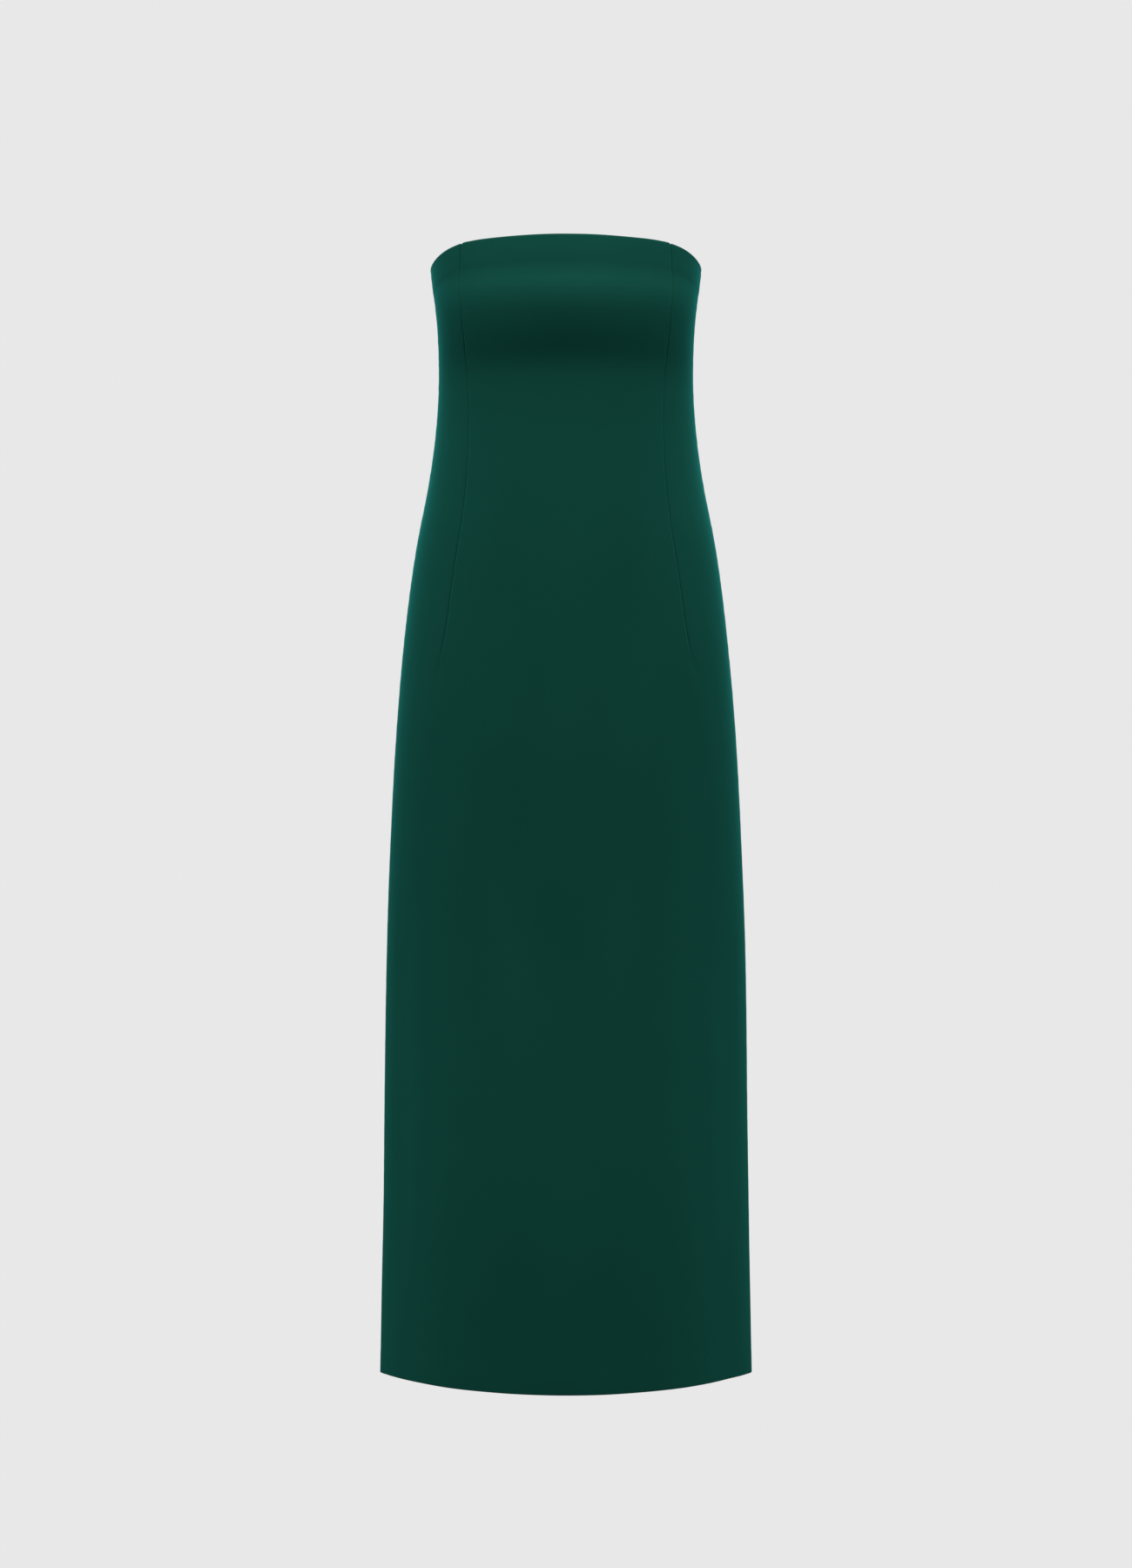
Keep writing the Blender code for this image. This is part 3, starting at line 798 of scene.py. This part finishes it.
def tape_material():
    made, tree, shader = principled("zip_tape_woven", {
        "Specular IOR Level": 0.03,
        "Sheen Weight": 0.12,
        "Sheen Tint": DULL_SHEEN,
    })
    places = add(tree, "ShaderNodeTexCoord").outputs["Object"]
    varied_colour(tree, shader, places, TAPE_COLOURS, scale=300.0)
    varied_roughness(tree, shader, places, low=0.70, high=0.80, scale=60.0)
    weave_bump(tree, shader, places, threads=1600.0, strength=0.5, distance=0.0002)
    return made


def thread_material():
    made, tree, shader = principled("thread", {
        "Specular IOR Level": 0.08,
        "Sheen Weight": 0.15,
        "Sheen Tint": DULL_SHEEN,
    })
    places = add(tree, "ShaderNodeTexCoord").outputs["Object"]
    varied_colour(tree, shader, places, THREAD_COLOURS, scale=900.0)
    varied_roughness(tree, shader, places, low=0.45, high=0.60, scale=900.0)
    return made


def paint_material(name, colours, low, high):
    """Dyed plastic or painted metal, softly uneven."""
    made, tree, shader = principled(name, {
        "Specular IOR Level": 0.22,
        "Specular Tint": PAINT_GLOSS,
    })
    places = add(tree, "ShaderNodeTexCoord").outputs["Object"]
    noise = varied_colour(tree, shader, places, colours, scale=500.0)
    varied_roughness(tree, shader, places, low, high, scale=700.0)
    bump = add(tree, "ShaderNodeBump", None, {"Strength": 0.2, "Distance": 0.00005})
    tree.links.new(noise.outputs["Fac"], bump.inputs["Height"])
    tree.links.new(bump.outputs["Normal"], shader.inputs["Normal"])
    return made


def tape_piece(name, side, finish):
    """A woven tape behind the centre back seam, thicker at its two selvedges."""
    near, far = TAPE_EDGES
    heights = np.linspace(ZIP_TOP, ZIP_BOTTOM, TAPE_ROWS)
    across = np.array(TAPE_COLUMNS)
    x = near + (far - near) * across
    grid_z = np.repeat(heights[:, None], len(x), axis=1)
    angle = math.pi - np.arcsin(x[None, :] / SECTION["width"](grid_z))
    points = ring_points(angle, grid_z, "back", side)
    points[..., 0] = side * x[None, :]
    points[..., 1] -= WALL + SEAM_DIP + SEAM_GAP
    if side > 0:
        points = points[:, ::-1]
        across = across[::-1]
    normal = normals(points)
    selvedge = SELVEDGE * (hump(across - SELVEDGE_AT, SELVEDGE_WIDTH)
                           + hump(across - 1 + SELVEDGE_AT, SELVEDGE_WIDTH))
    proud = selvedge + RIB * np.cos(2 * math.pi * RIB_COUNT * across)
    outer = points - normal * (TAPE_THICK * TAPE_FACE - proud)[None, :, None]
    inner = points - normal * (TAPE_THICK * (1 - TAPE_FACE) + proud)[None, :, None]
    vertices = np.concatenate([outer, inner[::-1]], axis=0)
    count, wide = vertices.shape[:2]
    faces = loop_faces(count, wide).tolist()
    for column, turned in ((0, False), (wide - 1, True)):
        for i in range(TAPE_ROWS - 1):
            face = [i, count - 1 - i, count - 2 - i, i + 1]
            face = [v * wide + column for v in face]
            faces.append(face[::-1] if turned else face)
    return mesh_piece(name, vertices.reshape(-1, 3), faces, [finish])


def behind_tapes(heights):
    """Depth of the tapes' inner faces at the centre back."""
    return SECTION["back"](heights) - WALL - SEAM_DIP - SEAM_GAP - TAPE_THICK


def teeth_piece(name, side, finish):
    """One side of the coil: rounded loops that reach a little past the centre line."""
    foot = ZIP_BOTTOM + TEETH_ABOVE_FOOT
    head = ZIP_TOP - TEETH_BELOW_HEAD
    heights = np.arange(foot, head, TOOTH_PITCH) + (TOOTH_PITCH / 2 if side > 0 else 0)
    depth = behind_tapes(heights) - TOOTH_BEHIND
    centres = np.stack([np.full_like(heights, side * TOOTH_AT), depth, heights], axis=1)
    along = np.tile([1.0, 0.0, TOOTH_SLOPE], (len(heights), 1))
    out = np.tile([0.0, 1.0, 0.0], (len(heights), 1))
    return beads(name, centres, along, out, TOOTH_SIZE, finish)


def zip_stitches(name, side, finish):
    """The row that sews a tape to the allowance."""
    heights = np.linspace(ZIP_TOP - ZIP_STITCH_END, ZIP_BOTTOM + ZIP_STITCH_END,
                          ZIP_STITCH_POINTS)
    depth = behind_tapes(heights) - ZIP_STITCH_SITS
    path = np.stack([np.full_like(heights, side * ZIP_STITCH_AT), depth, heights], axis=1)
    out = np.tile([0.0, -1.0, 0.0], (ZIP_STITCH_POINTS, 1))
    return stitches(name, path, out, ZIP_STITCH, finish)


def pull_outline():
    """The pull tab's outline and its eye, seen from the front, with the hinge at zero."""
    side = PULL_NECK_HALF_WIDTH - PULL_CORNER
    top = PULL_BAR - PULL_CORNER
    foot = PULL_FOOT_RADIUS - PULL_LENGTH
    outline = []
    for centre, radius, start, end, steps in (
            ((side, top), PULL_CORNER, 0, 90, PULL_CORNER_STEPS),
            ((-side, top), PULL_CORNER, 90, 180, PULL_CORNER_STEPS),
            ((0.0, foot), PULL_FOOT_RADIUS, 180, 360, PULL_FOOT_STEPS)):
        for k in range(steps + 1):
            turned = math.radians(start + (end - start) * k / steps)
            outline.append((centre[0] + radius * math.cos(turned),
                            centre[1] + radius * math.sin(turned)))
    eye = [(-PULL_EYE_HALF_WIDTH, -PULL_EYE_BOTTOM), (-PULL_EYE_HALF_WIDTH, -PULL_BAR),
           (PULL_EYE_HALF_WIDTH, -PULL_BAR), (PULL_EYE_HALF_WIDTH, -PULL_EYE_BOTTOM)]
    return outline, eye


def pull_piece(name, finish):
    """The pull tab with rounded edges and its long eye round the hinge bar."""
    curve = bpy.data.curves.new(name, "CURVE")
    curve.dimensions = "2D"
    curve.fill_mode = "BOTH"
    curve.extrude = PULL_BAR - PULL_EDGE
    curve.bevel_depth = PULL_EDGE
    curve.bevel_resolution = PULL_EDGE_STEPS
    curve.offset = -PULL_EDGE
    for points in pull_outline():
        line = curve.splines.new("POLY")
        line.points.add(len(points) - 1)
        for point, (u, v) in zip(line.points, points):
            point.co = (u, v, 0, 1)
        line.use_cyclic_u = True
    source = bpy.data.objects.new(name + "_outline", curve)
    bpy.context.scene.collection.objects.link(source)
    bpy.context.view_layer.update()
    evaluated = source.evaluated_get(bpy.context.evaluated_depsgraph_get())
    mesh = bpy.data.meshes.new_from_object(evaluated)
    bpy.data.objects.remove(source)
    mesh.name = name
    hinge = float(SECTION["back"](SLIDER_HEIGHT)) + CROWN_OUT
    for vertex in mesh.vertices:
        u, v, w = vertex.co
        vertex.co = (u, hinge - w, SLIDER_HEIGHT + v)
    mesh.materials.clear()
    mesh.materials.append(finish)
    made = bpy.data.objects.new(name, mesh)
    bpy.context.scene.collection.objects.link(made)
    return made


def inside_stitches(node, sheet, inner, thread):
    """Understitching below the top edge and blind stitches along the hem."""
    normal = normals(sheet["points"])
    facing_row = int(np.argmin(np.abs(sheet["below_top"][:, 0] - UNDERSTITCH_AT)))
    hem_row = int(np.argmin(np.abs(sheet["above_hem"][:, 0] - HEM_STITCH_AT)))
    made = []
    for label, row, stitch in (("understitch", facing_row, UNDERSTITCH),
                               ("hem_stitch", hem_row, HEM_STITCH)):
        path = inner[row] - normal[row] * THREAD_SITS
        made.append(stitches(label + "_" + node, path, normal[row], stitch, thread))
    return made


def zip_half(side, tape, coil, thread):
    """One back's tape, teeth and row of stitches."""
    end = "left" if side > 0 else "right"
    strip = tape_piece("zip_tape_shape_" + end, side, tape)
    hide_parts("zip_tape_" + end)
    teeth = teeth_piece("zip_teeth_" + end, side, coil)
    sewn = zip_stitches("zip_stitch_" + end, side, thread)
    return [strip, teeth, sewn]


def make_dress():
    satin = cloth_material()
    reverse = reverse_material()
    thread = thread_material()
    tape = tape_material()
    coil = paint_material("zip_coil_dyed", COIL_COLOURS, low=0.35, high=0.45)
    paint = paint_material("zip_paint", PAINT_COLOURS, low=0.28, high=0.40)
    sheets = {
        "front": joined(half_sheet("front", -1), half_sheet("front", 1)),
        "back_left": flipped(half_sheet("back", 1)),
        "back_right": half_sheet("back", -1),
    }
    for node, sheet in sheets.items():
        half = "front" if node == "front" else "back"
        side = -1 if node == "back_right" else 1
        piece, inner = cloth_piece("dress_" + node, sheet, half, side, [satin, reverse])
        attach(piece, "dress")
        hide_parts(node)
        on_it = inside_stitches(node, sheet, inner, thread)
        if half == "back":
            on_it += zip_half(side, tape, coil, thread)
        for extra in on_it:
            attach(extra, "dress")
    pull = pull_piece("zip_pull_tab", paint)
    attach(pull, "pull_tab")
    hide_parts("zip_pull")
    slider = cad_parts["zip_slider"]
    slider.data.materials.clear()
    slider.data.materials.append(paint)


def make_stage():
    """A pale bowl all round: the floor, a cove and a wall, in one even grey."""
    profile = [(STAGE_RADIUS - STAGE_COVE, STAGE_FLOOR)]
    for k in range(1, STAGE_COVE_STEPS + 1):
        turned = math.pi / 2 * k / STAGE_COVE_STEPS
        profile.append((STAGE_RADIUS - STAGE_COVE + STAGE_COVE * math.sin(turned),
                        STAGE_FLOOR + STAGE_COVE - STAGE_COVE * math.cos(turned)))
    profile.append((STAGE_RADIUS, STAGE_TOP))
    vertices = [(0.0, 0.0, STAGE_FLOOR)]
    for radius, height in profile:
        for s in range(STAGE_SIDES):
            turned = 2 * math.pi * s / STAGE_SIDES
            vertices.append((radius * math.cos(turned), radius * math.sin(turned), height))
    faces = [(0, 1 + s, 1 + (s + 1) % STAGE_SIDES) for s in range(STAGE_SIDES)]
    for r in range(len(profile) - 1):
        a = 1 + r * STAGE_SIDES
        for s in range(STAGE_SIDES):
            t = (s + 1) % STAGE_SIDES
            faces.append((a + s, a + STAGE_SIDES + s, a + STAGE_SIDES + t, a + t))
    finish = bpy.data.materials.new("stage_grey")
    finish.use_nodes = True
    tree = finish.node_tree
    glow = add(tree, "ShaderNodeEmission", None,
               {"Color": (STAGE_GREY, STAGE_GREY, STAGE_GREY, 1.0), "Strength": 1.0})
    tree.links.new(glow.outputs["Emission"], tree.nodes["Material Output"].inputs["Surface"])
    bowl = mesh_piece("stage_bowl", np.array(vertices), faces, [finish])
    bowl.visible_diffuse = False
    bowl.visible_glossy = False
    bowl.visible_shadow = False


def add_light(data, place, look):
    made = bpy.data.objects.new(data.name, data)
    made.location = place
    made.rotation_euler = look.to_track_quat("-Z", "Y").to_euler()
    made.visible_camera = False
    bpy.context.scene.collection.objects.link(made)


def make_far_lights():
    for name, round_degrees, up_degrees, strength in FAR_LIGHTS:
        for side in (1, -1) if round_degrees else (1,):
            turned = math.radians(side * round_degrees)
            up = math.radians(up_degrees)
            toward = Vector((math.sin(turned) * math.cos(up), -math.cos(turned) * math.cos(up),
                             math.sin(up)))
            data = bpy.data.lights.new(name, "SUN")
            data.angle = math.radians(FAR_SOFTNESS)
            data.energy = strength
            add_light(data, toward * FAR_DISTANCE, -toward)


def make_soft_boxes():
    for name, place, size, power, aim, beam in SOFT_BOXES:
        for side in (1, -1) if place[0] else (1,):
            spot = Vector((side * place[0], place[1], place[2]))
            data = bpy.data.lights.new(name, "AREA")
            data.shape = "RECTANGLE"
            data.size, data.size_y = size
            data.energy = power
            data.spread = math.radians(beam)
            add_light(data, spot, Vector((0.0, 0.0, aim)) - spot)


def make_world():
    world = bpy.data.worlds.new("studio")
    world.use_nodes = True
    background = world.node_tree.nodes["Background"]
    background.inputs["Color"].default_value = WHITE
    background.inputs["Strength"].default_value = WORLD_STRENGTH
    bpy.context.scene.world = world


def make_camera():
    data = bpy.data.cameras.new("camera")
    data.lens = CAMERA_LENS
    data.sensor_width = CAMERA_SENSOR
    made = bpy.data.objects.new("camera", data)
    made.location = CAMERA_PLACE
    made.rotation_euler = (math.pi / 2, 0.0, 0.0)
    bpy.context.scene.collection.objects.link(made)
    bpy.context.scene.camera = made


make_dress()
make_stage()
make_far_lights()
make_soft_boxes()
make_world()
make_camera()
view = bpy.context.scene.view_settings
view.view_transform = "Standard"
view.look = "None"
